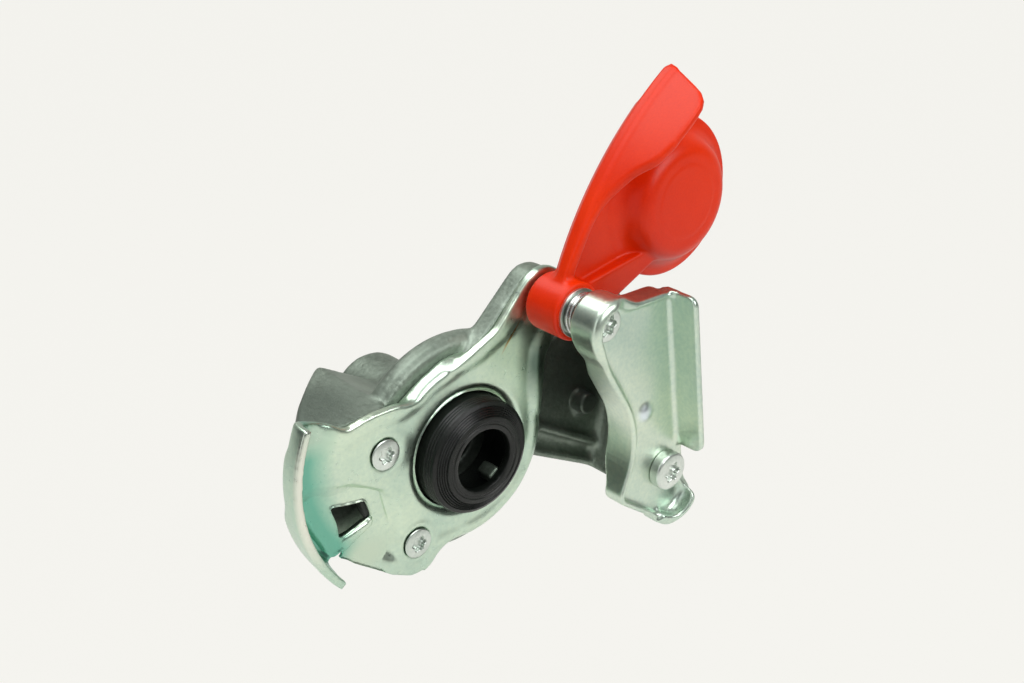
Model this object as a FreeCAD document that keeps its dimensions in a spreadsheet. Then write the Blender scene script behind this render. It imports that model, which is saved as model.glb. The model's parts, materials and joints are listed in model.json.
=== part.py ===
import FreeCAD, Part
import os
from math import atan2, cos, degrees, hypot, radians, sin, sqrt, tan

from FreeCAD import Placement, Rotation, Vector

# Gladhand air brake coupler: a palm type coupling head with a swinging red dust cap.
#
# Every piece is drawn lying on its port with the coupling face up: X to the right, Y up the
# face, Z forward out of the face. The whole head is then tipped about X, so that the finished
# part stands up (+Z) and its face looks along -Y. Its origin is the middle of the port's mouth.

doc = FreeCAD.newDocument("coupling_head")
sheet = doc.addObject("Spreadsheet::Sheet", "sizes")

SIZES = [
    # Port and cast body
    ("face_height", 60, "port mouth to the front of the claw plate"),
    ("port_radius", 16, "outside of the port boss"),
    ("port_bore_radius", 10.4, "core hole of the port's thread"),
    ("port_bore_depth", 15, "length of the port's thread"),
    ("passage_radius", 8.5, "air passage between port and seal"),
    ("port_chamfer", 1, "lead-in at the port"),
    ("neck_height", 20, "where the port boss starts to widen"),
    ("drum_radius", 40, "cast drum behind the plate"),
    ("drum_length", 8, "length of the drum's round wall"),
    ("drum_edge", 3, "rounding of the drum's rear edge"),
    ("shoulder_chamfer", 2.5, "chamfer in front of the drum's wall"),
    ("wall", 4, "cast wall"),
    # Seal ring
    ("ring_radius", 20.5, "seal ring outside"),
    ("ring_bore_radius", 11.1, "seal ring mouth"),
    ("ring_chamber_radius", 14, "hollow behind the seal's mouth"),
    ("ring_seat_depth", 9, "how deep the ring sits behind the plate's face"),
    ("ring_edge_proud", 6, "ring's outer edge above the face"),
    ("ring_lip_proud", 8.4, "ring's lip above the face"),
    ("ring_lip_thick", 3.5, "ring's lip wall"),
    ("seat_gap", 0.1, "play around a seated piece"),
    # Claw plate
    ("sheet_thick", 3, "pressed sheet"),
    ("pan_radius", 35, "turned-back rim of the plate"),
    ("pan_depth", 6.5, "front face to the rim's edge"),
    ("pan_round", 5.5, "outside rounding of the rim"),
    ("hole_gap", 0.7, "plate's hole around the ring"),
    ("ear_radius", 11, "plate's ear about the hinge"),
    ("claw_x", -18, "centre of the claw's arc, right of the ring"),
    ("claw_z", 12, "centre of the claw's arc, above the ring"),
    ("claw_flat", 41, "flat sheet inside the claw's hollow"),
    ("claw_wall", 52.2, "inside of the claw's wall about its centre"),
    ("claw_slope", 20, "degrees that the sheet rises in the claw's hollow"),
    ("claw_bend", 3.5, "inside bend at the foot of the claw's wall"),
    ("claw_lip", 8.5, "claw's lip above the plate's face"),
    ("claw_from", 155, "degrees to the claw's upper end about its centre"),
    ("claw_to", 219, "degrees to the claw's lower end about its centre"),
    ("claw_tip", 1.5, "degrees by which the wall's tip reaches on"),
    ("hinge_seat", 0.9, "seat pressed up on the plate's ear under the cap"),
    # Skirt of the casting behind the claw
    ("skirt_top", 26, "flat top of the skirt above the ring"),
    ("skirt_depth", 43.6, "rear end of the skirt behind the plate's face"),
    ("skirt_foot", 18.7, "skirt's rear end about the claw's centre"),
    ("skirt_mouth", 49, "skirt's front edge about the claw's centre"),
    ("skirt_floor", 17.5, "floor of the skirt's hollow behind the plate's face"),
    ("skirt_to", 205, "degrees to the skirt's lower end about the claw's centre"),
    # Hinge
    ("hinge_x", 34, "hinge, right of the ring"),
    ("hinge_z", 47, "hinge, above the ring"),
    ("pin_radius", 4, "hinge pin"),
    ("pin_gap", 0.08, "running clearance on the pin"),
    ("ear_depth", 8, "casting's ear behind the plate"),
    ("lug_radius", 9.8, "casting's ear about the hinge"),
    # Screws
    ("plate_screw_radius", 3, "plate screw's shank"),
    ("plate_head_radius", 5.7, "plate screw's countersunk head"),
    ("plate_screw_length", 14, "plate screw"),
    ("upper_screw_x", -34.2, "upper plate screw"),
    ("upper_screw_z", 11.2, "upper plate screw"),
    ("lower_screw_x", -22.6, "lower plate screw"),
    ("lower_screw_z", -27.1, "lower plate screw"),
    ("hinge_head_radius", 6.2, "hinge screw's countersunk head"),
    ("stop_screw_radius", 4, "stop screw's shank"),
    ("stop_head_radius", 7.1, "stop screw's round head"),
    ("stop_head_height", 5.5, "stop screw's round head"),
    ("stop_screw_x", 61.5, "stop screw"),
    ("stop_screw_z", -16.4, "stop screw"),
    ("recess_depth", 2.2, "six-lobe drive recess"),
    # Guide bracket
    ("bracket_proud", 32, "bracket's face above the plate's face"),
    ("flange_depth", 13, "bracket's turned-back flange with the face sheet"),
    ("flange_radius", 47, "bracket's inner flange about the ring"),
    ("bracket_round", 2.5, "outside rounding of the bracket's bends"),
    ("boss_radius", 9.8, "bracket's domed boss about the hinge"),
    ("boss_depth", 9.3, "bracket's domed boss"),
    ("boss_wall", 2, "drawn wall of the boss"),
    ("bracket_top", 52, "bracket's top edge above the ring"),
    ("fence_height", 12, "bracket's forward wall above its face"),
    ("fence_from", -3, "lower end of the forward wall"),
    ("lip_height", 6, "bracket's lower lip above its face"),
    # Jaw of the casting
    ("floor_drop", 11, "jaw's floor behind the plate's face"),
    ("floor_thick", 5, "jaw's floor"),
    ("jaw_radius", 74.5, "inside of the jaw's wall about the ring"),
    ("jaw_wall", 5.5, "jaw's wall"),
    ("jaw_from", -27.4, "degrees to the jaw's lower end"),
    ("jaw_to", 27, "degrees to the jaw's upper end"),
    ("rib_height", 3, "ribs and core boss on the jaw's floor"),
    # Cap
    ("open_angle", 28.1, "degrees of the cap's arm above level when open"),
    ("hub_radius", 10.2, "cap's hub"),
    ("hub_gap", 1, "hub above the plate"),
    ("hub_top", 16, "hub's front above the plate's face"),
    ("cap_gap", 0.3, "cap above the seal's lip"),
    ("lift_gap", 0.8, "bracket's flange round the cap's hub"),
    ("cap_web", 1.6, "cap's plate"),
    ("cap_rim_radius", 25.2, "cap's rim"),
    ("dome_radius", 20.5, "cap's dome"),
    ("dome_top", 16.4, "dome's front above the plate's face"),
    ("dome_round", 5, "dome's edge"),
    ("grip_wall", 2.6, "cap's grip"),
    ("grip_low", 13.6, "low part of the grip above the plate's face"),
    ("grip_high", 34, "high part of the grip above the plate's face"),
    # Spring and washer
    ("washer_radius", 8.6, "thrust washer"),
    ("washer_thick", 1, "thrust washer"),
    ("spring_radius", 6.9, "middle of the spring's wire"),
    ("wire_radius", 0.75, "spring's wire"),
    ("spring_turns", 4, "spring's turns"),
    ("spring_gap", 0.05, "spring to its seats"),
]

for row, (name, value, meaning) in enumerate(SIZES, start=1):
    sheet.set("A%d" % row, name.replace("_", " "))
    sheet.set("B%d" % row, str(value))
    sheet.set("C%d" % row, meaning)
    sheet.setAlias("B%d" % row, name)
doc.recompute()


def size(name):
    """A driving dimension, read from the sheet."""
    return float(sheet.get(name))


def level(above_face):
    """Height above the port's mouth of something that many mm in front of the plate's face."""
    return size("face_height") + above_face


# Building blocks

bodies = []
TIP_UP = Rotation(Vector(1, 0, 0), 90)


def new_body(name, x="0", z="0", height="0", turn=None):
    """An empty body, tipped upright; x, z and height are expressions on the sheet."""
    body = doc.addObject("PartDesign::Body", name)
    body.Label = name
    spin = Rotation(Vector(0, 0, 1), turn) if turn is not None else Rotation()
    body.Placement = Placement(Vector(), TIP_UP * spin)
    body.setExpression("Placement.Base.x", x)
    body.setExpression("Placement.Base.z", z)
    body.setExpression("Placement.Base.y", "-(%s)" % height)
    bodies.append(body)
    return body


def origin_plane(body, role):
    """One of a body's own origin planes."""
    return next(f for f in body.Origin.OriginFeatures if f.Role == role)


def flat_sketch(body, name, geometry, height="0"):
    """A sketch parallel to the face, at a height given as an expression."""
    sketch = body.newObject("Sketcher::SketchObject", name)
    sketch.AttachmentSupport = [(origin_plane(body, "XY_Plane"), "")]
    sketch.MapMode = "FlatFace"
    sketch.addGeometry(geometry, False)
    sketch.setExpression("AttachmentOffset.Base.z", height)
    return sketch


def profile_sketch(body, name, geometry, turn=0, claw=False):
    """A sketch of radius and height, in the plane at the angle turn through the axis, or through
    the axis of the claw's arc."""
    sketch = body.newObject("Sketcher::SketchObject", name)
    sketch.AttachmentSupport = [(origin_plane(body, "XZ_Plane"), "")]
    sketch.MapMode = "FlatFace"
    centre = Vector(size("claw_x"), 0, -size("claw_z")) if claw else Vector()
    sketch.AttachmentOffset = Placement(centre, Rotation(Vector(0, 1, 0), turn))
    sketch.addGeometry(geometry, False)
    return sketch


def pad(body, name, geometry, height, length):
    """Material on a flat sketch, forwards by length; both are expressions."""
    feature = body.newObject("PartDesign::Pad", name)
    feature.Profile = flat_sketch(body, name + "_sketch", geometry, height)
    feature.setExpression("Length", length)
    return feature


def pocket(body, name, geometry, height, length):
    """A cut from a flat sketch backwards by length; both are expressions."""
    feature = body.newObject("PartDesign::Pocket", name)
    feature.Profile = flat_sketch(body, name + "_sketch", geometry, height)
    feature.setExpression("Length", length)
    return feature


def turned(body, name, geometry, kind="Revolution", start=0, angle=360, claw=False):
    """Material (Revolution) or a cut (Groove) turned about the body's axis or the claw's."""
    feature = body.newObject("PartDesign::" + kind, name)
    sketch = profile_sketch(body, name + "_sketch", geometry, start, claw)
    feature.Profile = sketch
    feature.ReferenceAxis = (sketch, ["V_Axis"])
    feature.Angle = angle
    return feature


def drilled(body, name, radius, depth, x="0", y="0", bottom="0"):
    """A round hole along the axis; all are expressions, bottom is its lower end."""
    hole = body.newObject("PartDesign::SubtractiveCylinder", name)
    hole.AttachmentSupport = [(origin_plane(body, "XY_Plane"), "")]
    hole.MapMode = "FlatFace"
    hole.setExpression("Radius", radius)
    hole.setExpression("Height", depth)
    hole.setExpression("AttachmentOffset.Base.x", x)
    hole.setExpression("AttachmentOffset.Base.y", y)
    hole.setExpression("AttachmentOffset.Base.z", bottom)
    return hole


def countersunk(body, name, low_radius, top_radius, x, y, top):
    """A 90 degree countersink whose mouth is at the height top; all are expressions."""
    cone = body.newObject("PartDesign::SubtractiveCone", name)
    cone.AttachmentSupport = [(origin_plane(body, "XY_Plane"), "")]
    cone.MapMode = "FlatFace"
    cone.setExpression("Radius1", low_radius)
    cone.setExpression("Radius2", top_radius)
    cone.setExpression("Height", "(%s) - (%s)" % (top_radius, low_radius))
    cone.setExpression("AttachmentOffset.Base.x", x)
    cone.setExpression("AttachmentOffset.Base.y", y)
    cone.setExpression("AttachmentOffset.Base.z", "(%s) - (%s) + (%s)" % (top, top_radius, low_radius))
    return cone


def circle(radius, x=0.0, y=0.0):
    return [Part.Circle(Vector(x, y, 0), Vector(0, 0, 1), radius)]


def rounded(corners):
    """A closed outline of straight runs; each corner is (x, y, radius of its rounding)."""
    count = len(corners)
    arcs = []
    for i, (x, y, radius) in enumerate(corners):
        here = Vector(x, y, 0)
        before = (Vector(*corners[i - 1][:2], 0) - here)
        after = (Vector(*corners[(i + 1) % count][:2], 0) - here)
        before.normalize()
        after.normalize()
        half = before.getAngle(after) / 2
        if radius <= 0 or abs(half - radians(90)) < 1e-6:
            arcs.append((here, None, here))
            continue
        reach = radius / tan(half)
        inward = before + after
        inward.normalize()
        centre = here + inward * (radius / sin(half))
        middle = centre - inward * radius
        arcs.append((here + before * reach, middle, here + after * reach))
    geometry = []
    for i, (start, middle, end) in enumerate(arcs):
        if middle is not None:
            geometry.append(Part.Arc(start, middle, end))
        following = arcs[(i + 1) % count][0]
        if end.distanceToPoint(following) > 1e-6:
            geometry.append(Part.LineSegment(end, following))
    return geometry


def along(direction, forward, left):
    """A point given by its distance along a direction (degrees) and to the left of it."""
    a = radians(direction)
    return (forward * cos(a) - left * sin(a), forward * sin(a) + left * cos(a))


def polar(radius, angle):
    return (radius * cos(radians(angle)), radius * sin(radians(angle)))


def lobes(radius):
    """A six-lobe drive recess: six outer arcs joined by six inner ones."""
    waist = 0.72 * radius
    geometry = []
    for i in range(6):
        a = 60 * i
        ends = [polar(0.9 * radius, a - 14), polar(0.9 * radius, a + 14), polar(0.9 * radius, a + 46)]
        tip, dip = polar(radius, a), polar(waist, a + 30)
        points = [Vector(*p, 0) for p in (ends[0], tip, ends[1], dip, ends[2])]
        geometry.append(Part.Arc(points[0], points[1], points[2]))
        geometry.append(Part.Arc(points[2], points[3], points[4]))
    return geometry


# Values that several pieces share

hinge_x, hinge_y = size("hinge_x"), size("hinge_z")
reach = hypot(hinge_x, hinge_y)
hinge_direction = degrees(atan2(hinge_y, hinge_x))
sheet_thick = size("sheet_thick")
FACE = "sizes.face_height"
HINGE_X, HINGE_Z = "sizes.hinge_x", "sizes.hinge_z"


def edges_where(feature, wanted):
    """Names of a feature's edges for which wanted(edge) is true."""
    doc.recompute()
    return ["Edge%d" % i for i, edge in enumerate(feature.Shape.Edges, start=1) if wanted(edge)]


def smooth(body, name, feature, wanted, radius):
    """A fillet, radius an expression, on the edges that wanted picks out."""
    fillet = body.newObject("PartDesign::Fillet", name)
    fillet.Base = (feature, edges_where(feature, wanted))
    fillet.setExpression("Radius", radius)
    return fillet


def lies_at(edge, height, slack=0.01):
    """True for an edge that lies wholly at one height."""
    box = edge.BoundBox
    return abs(box.ZMin - height) < slack and abs(box.ZMax - height) < slack


# Outlines that two pieces share

def ear_outline(radius, widen, spread):
    """The ear about the hinge: a round end on a web that spreads towards the ring's axis; spread
    is the web's half width where it starts, for a pan of radius 1."""
    foot, knee = 0.62 * size("pan_radius"), 0.7 * reach
    spread, waist = spread * size("pan_radius") + widen, radius + 3 + widen
    corners = [(foot, spread, 0), (foot, -spread, 0), (knee, -waist, 9),
               (reach + radius, -radius, radius), (reach + radius, radius, radius), (knee, waist, 9)]
    return rounded([along(hinge_direction, a, b) + (r,) for a, b, r in corners])


def about_claw(radius, angle):
    """A point at a radius and angle (degrees) about the centre of the claw's arc."""
    x, y = polar(radius, angle)
    return (size("claw_x") + x, size("claw_z") + y)


def claw_sheet_line(offset):
    """The claw's section as (radius, height, rounding), offset behind its front surface."""
    slope = radians(size("claw_slope"))
    wall, span = size("claw_wall"), size("claw_wall") - size("claw_flat")
    start, bend = size("claw_flat") + 0.36 * span, min(size("claw_bend"), 0.32 * span)
    first = (start + offset * tan(slope / 2), level(-offset), 1.7 * span + offset)
    rise = (wall + offset - first[0]) * tan(slope)
    return [first, (wall + offset, first[1] + rise, bend + offset), (wall + offset, level(size("claw_lip")), 0)]


def line(a, b):
    return Part.LineSegment(Vector(a[0], a[1], 0), Vector(b[0], b[1], 0))


def make_casting():
    """The cast body: port boss, drum, hinge ear, skirt behind the claw, and the open jaw."""
    body = new_body("body_casting")
    face, wall = level(0), size("wall")
    pad_top = level(-sheet_thick)
    shoulder = level(-size("pan_depth"))
    drum_back = shoulder - size("drum_length")
    drum, port, neck = size("drum_radius"), size("port_radius"), size("neck_height")

    # Skirt behind the claw: a cone about the claw's centre under a flat top, open to the front
    top, under = size("skirt_top"), level(-sheet_thick - size("seat_gap"))
    skirt_back, skirt_floor = level(-size("skirt_depth")), level(-size("skirt_floor"))
    foot, mouth = size("skirt_foot"), size("skirt_mouth")
    steep = (mouth - foot) / (under - skirt_back)
    belly = (foot + 0.55 * (mouth - foot) + 1.2, skirt_back + 0.55 * (under - skirt_back) - 1)
    floor_radius = mouth - 1.3 * wall - steep * (under - skirt_floor)
    skirt_wall = [(0, skirt_back, 0), (foot, skirt_back, 0), belly + (60,), (mouth, under, 0),
                  (mouth - 1.3 * wall, under, 0), (floor_radius, skirt_floor, 3), (0, skirt_floor, 0)]
    ridge = 180 - degrees(atan2(top - size("claw_z"), sqrt(foot ** 2 - (top - size("claw_z")) ** 2)))
    turned(body, "skirt", rounded(skirt_wall), start=ridge, angle=size("skirt_to") - ridge, claw=True)
    above = [(-90, top, 0), (-5, top, 0), (-5, 90, 0), (-90, 90, 0)]
    pocket(body, "skirt_top_cut", rounded(above), "%s + 20" % FACE, "120")
    ridge_x = about_claw(foot, ridge)[0]
    roof = body.newObject("PartDesign::Pad", "skirt_roof")

    def edge_x(radius):
        return size("claw_x") - sqrt(radius ** 2 - (top - size("claw_z")) ** 2)

    outline = [(ridge_x, under, 0), (ridge_x, skirt_back, 0), (edge_x(belly[0]) + 1, belly[1], 60),
               (edge_x(mouth), under, 0)]
    roof.Profile = profile_sketch(body, "skirt_roof_sketch", rounded(outline))
    roof.Profile[0].AttachmentOffset = Placement(Vector(0, 0, -top), Rotation())
    roof.Length = wall
    gusset = [(ridge_x, top, 0), (-7, 13, 0), (-4, 0, 0), (ridge_x, 0, 0)]
    pad(body, "skirt_gusset", rounded(gusset), "%s - sizes.skirt_depth" % FACE, "sizes.skirt_depth - 10")
    ledge = [(-20, -18, 0), (-33, -31, 4), (-49, -23.5, 5), (-56, -6, 0), (-40, 10, 0), (-20, 10, 0)]
    pad(body, "slot_floor", rounded(ledge), "%s - sizes.skirt_floor - sizes.wall" % FACE, "sizes.wall")

    # Turned core: port boss, neck, drum, and the round pad that the plate's pan sits over
    pan_inside = size("pan_radius") - sheet_thick - size("seat_gap")
    core = [(0, 0, 0), (port - size("port_chamfer"), 0, 0), (port, size("port_chamfer"), 0),
            (port, neck, 10), (drum - 2 * wall, drum_back - wall / 2, wall),
            (drum, drum_back, size("drum_edge")), (drum, shoulder - size("shoulder_chamfer"), 0),
            (drum - size("shoulder_chamfer"), shoulder, 0), (pan_inside, shoulder, 0),
            (pan_inside, pad_top, size("pan_round") - sheet_thick), (0, pad_top, 0)]
    turned(body, "core", rounded(core))
    ear = pad(body, "hinge_ear", ear_outline(size("lug_radius"), 2, 0.5),
              "%s - sizes.sheet_thick - sizes.ear_depth" % FACE, "sizes.ear_depth")
    ear_back = level(-sheet_thick - size("ear_depth"))

    def ear_end(edge):
        middle = edge.BoundBox.Center
        return lies_at(edge, ear_back) and hypot(middle.x, middle.y) > reach

    smooth(body, "ear_rounding", ear, ear_end, "1.5")

    # Jaw: a floor, a wall round the far side, and a roof that carries the bracket
    floor = level(-size("floor_drop"))
    under_floor = floor - size("floor_thick")
    inside, outside = size("jaw_radius"), size("jaw_radius") + size("jaw_wall")
    carry = level(size("bracket_proud") - sheet_thick)
    jaw = [(drum - 14, floor, 0), (drum - 14, under_floor, 0), (outside + 6, under_floor, 3),
           (outside + 6, floor + 2, 3), (outside, floor + 12, 6), (outside, level(14), 6),
           (66, carry, 0), (57, carry, 0), (57, carry - wall, 0), (64, carry - wall - 1, 3),
           (inside, level(13), 6), (inside, floor, 4)]
    jaw_from, jaw_to = size("jaw_from"), size("jaw_to")
    turned(body, "jaw", rounded(jaw), start=jaw_from, angle=jaw_to - jaw_from)
    # The jaw's roof ends inside the bracket's lower flange
    flange_line = [(42, -17.6, 0), (69.6, -36.1, 0), (69.6, -60, 0), (30, -60, 0), (30, -17.6, 0)]
    pocket(body, "roof_relief", rounded(flange_line), "%s + sizes.bracket_proud + 1" % FACE,
           "sizes.flange_depth + 1.2")
    pad(body, "floor_rib", rounded([(38, -5, 0), (74, -26, 0), (72.5, -28.6, 0), (36.5, -7.6, 0)]),
        "%s - sizes.floor_drop" % FACE, "sizes.rib_height")
    rim = [along(jaw_from, a, b) + (0,) for a, b in ((34, 0.2), (84, 0.2), (84, 3.2), (34, 3.2))]
    pad(body, "floor_rim", rounded(rim), "%s - sizes.floor_drop" % FACE, "sizes.rib_height")
    pad(body, "core_boss", circle(4.5, 63, -6.7), "%s - sizes.floor_drop" % FACE, "2")
    pad(body, "stop_boss", circle(6.5, size("stop_screw_x"), size("stop_screw_z")),
        "%s + sizes.bracket_proud - sizes.sheet_thick - 9" % FACE, "9")

    # Air way: thread core, passage and the seat of the seal ring
    drilled(body, "passage", "sizes.passage_radius", "%s + 10" % FACE)
    drilled(body, "port_bore", "sizes.port_bore_radius", "sizes.port_bore_depth")
    drilled(body, "ring_seat", "sizes.ring_radius + sizes.seat_gap", "sizes.ring_seat_depth + 10",
            bottom="%s - sizes.ring_seat_depth" % FACE)

    # Screw holes
    depth = "sizes.plate_screw_length"
    for name in ("upper", "lower"):
        drilled(body, name + "_screw_hole", "sizes.plate_screw_radius + 0.02", depth,
                "sizes.%s_screw_x" % name, "sizes.%s_screw_z" % name, "%s - %s" % (FACE, depth))
    drilled(body, "hinge_hole", "sizes.pin_radius + 0.02", "30", HINGE_X, HINGE_Z, "%s - 25" % FACE)
    drilled(body, "stop_hole", "sizes.stop_screw_radius + 0.02", "30", "sizes.stop_screw_x",
            "sizes.stop_screw_z", "%s + sizes.bracket_proud - 15" % FACE)
    return body


def make_seal_ring():
    """The rubber seal ring: a body in the casting's seat and a lip that faces the other head."""
    body = new_body("seal_ring")
    outside, mouth = size("ring_radius"), size("ring_bore_radius")
    chamber, lip_top = size("ring_chamber_radius"), level(size("ring_lip_proud"))
    lip_back, edge = lip_top - size("ring_lip_thick"), level(size("ring_edge_proud"))
    section = [(chamber, level(-size("ring_seat_depth")), 0), (outside, level(-size("ring_seat_depth")), 0),
               (outside, edge - 0.8, 0), (outside - 0.8, edge, 0), (mouth + 5.6, lip_top - 0.6, 0),
               (mouth + 4, lip_top, 0), (mouth + 0.5, lip_top, 0), (mouth, lip_top - 0.5, 0),
               (mouth, lip_back, 0), (chamber, lip_back - 2, 0)]
    turned(body, "section", rounded(section))
    return body


def make_claw_plate():
    """The pressed steel plate: a pan over the drum, an ear at the hinge and the hooked claw."""
    body = new_body("claw_plate")
    face, back = level(0), level(-sheet_thick)
    pan, deep, bend = size("pan_radius"), level(-size("pan_depth")), size("pan_round")
    hole = size("ring_radius") + size("hole_gap")
    section = [(hole, face, 0), (hole, back, 0), (pan - sheet_thick, back, bend - sheet_thick),
               (pan - sheet_thick, deep, 0), (pan, deep, 0), (pan, face, bend)]
    turned(body, "pan", rounded(section))

    # The claw's flat sheet, from the pan to the start of the claw's hollow
    claw_from, claw_to, flat = size("claw_from"), size("claw_to"), size("claw_flat")
    swept = (claw_to - claw_from) / 2
    claw = [(-12, 25, 0), (-30, 27, 4), (-40.5, 26.6, 8), (-48, 25, 4), about_claw(flat, claw_from) + (0,),
            about_claw(flat / cos(radians(swept)), claw_from + swept) + (flat,),
            about_claw(flat, claw_to) + (0,), (-52.5, -20, 1.5), (-46.9, -25.8, 4), (-33, -36, 5),
            (-22, -41.5, 9), (-11, -34.5, 6), (-2, -31, 0)]
    hole_side = [(-2, -hole - 2, 0), (-hole - 2, -5, 0), (-12, hole - 4, 0)]
    pad(body, "claw_sheet", rounded(claw + hole_side), "%s - sizes.sheet_thick" % FACE,
        "sizes.sheet_thick")
    ear = pad(body, "ear", ear_outline(size("ear_radius"), 0, 0.72), "%s - sizes.sheet_thick" % FACE,
              "sizes.sheet_thick")
    pad(body, "hinge_seat", circle(8, hinge_x, hinge_y), FACE, "sizes.hinge_seat")
    # The pan's rim stops where the casting's ear comes through under the plate's ear
    pocket(body, "ear_relief", ear_outline(size("lug_radius"), 2.6, 0.5), "%s - sizes.sheet_thick" % FACE,
           "sizes.pan_depth")

    # The claw's hollow and wall, turned about the claw's centre; the wall's tip reaches on
    front_line, rear_line = claw_sheet_line(0), claw_sheet_line(sheet_thick)
    hollow = [(flat - 3, face, 0)] + front_line + rear_line[::-1] + [(flat - 3, back, 0)]
    turned(body, "claw_hollow", rounded(hollow), start=claw_from, angle=claw_to - claw_from, claw=True)
    wall, lip = size("claw_wall"), level(size("claw_lip"))
    tip = [(wall, lip, 0), (wall, lip - 5, 0), (wall + sheet_thick, lip - 6, 0), (wall + sheet_thick, lip, 0)]
    turned(body, "claw_tip", rounded(tip), start=claw_to - 1, angle=size("claw_tip") + 1, claw=True)

    # Hole for the ring, the slot and its lanced tab
    drilled(body, "ring_hole", str(hole), "20", bottom="%s - 10" % FACE)
    slot = [(-56, -1.1, 0.5), (-53.3, -11.8, 0.5), (-40.5, -10.3, 0.5), (-43.1, -3.3, 0.5)]
    pocket(body, "slot", rounded(slot), "%s + 1" % FACE, "10")
    tab = [(-53.3, -11.8, 1), (-49.8, -17.5, 2), (-38.6, -13.4, 2), (-40.5, -10.3, 1)]
    pad(body, "lanced_tab", rounded(tab), FACE, "1.6")

    # Holes
    for name in ("upper", "lower"):
        x, y = "sizes.%s_screw_x" % name, "sizes.%s_screw_z" % name
        drilled(body, name + "_hole", "sizes.plate_screw_radius + sizes.seat_gap", "20", x, y,
                "%s - 10" % FACE)
        countersunk(body, name + "_countersink", "sizes.plate_screw_radius + sizes.seat_gap",
                    "sizes.plate_head_radius + sizes.seat_gap", x, y, FACE)
    drilled(body, "hinge_hole", "sizes.pin_radius + sizes.seat_gap", "20", HINGE_X, HINGE_Z,
            "%s - 10" % FACE)
    return body


def screw(name, shank, head, length, x, z, top, recess, round_head=None):
    """A screw along the axis, its head up: countersunk, or a round head of the given height."""
    body = new_body(name, x, z, top)
    if round_head is None:
        section = [(0, 0, 0), (0, -length, 0), (shank - 0.6, -length, 0), (shank, 0.6 - length, 0),
                   (shank, shank - head, 0), (head, 0, 0)]
    else:
        section = [(0, round_head, 0), (0, -length, 0), (shank - 0.6, -length, 0),
                   (shank, 0.6 - length, 0), (shank, 0, 0), (head, 0, 0),
                   (head, round_head - 0.8, 0), (head - 0.8, round_head, 0)]
    turned(body, name + "_blank", rounded(section))
    pocket(body, name + "_drive", lobes(recess), str(round_head or 0), "sizes.recess_depth")
    return body


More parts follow.
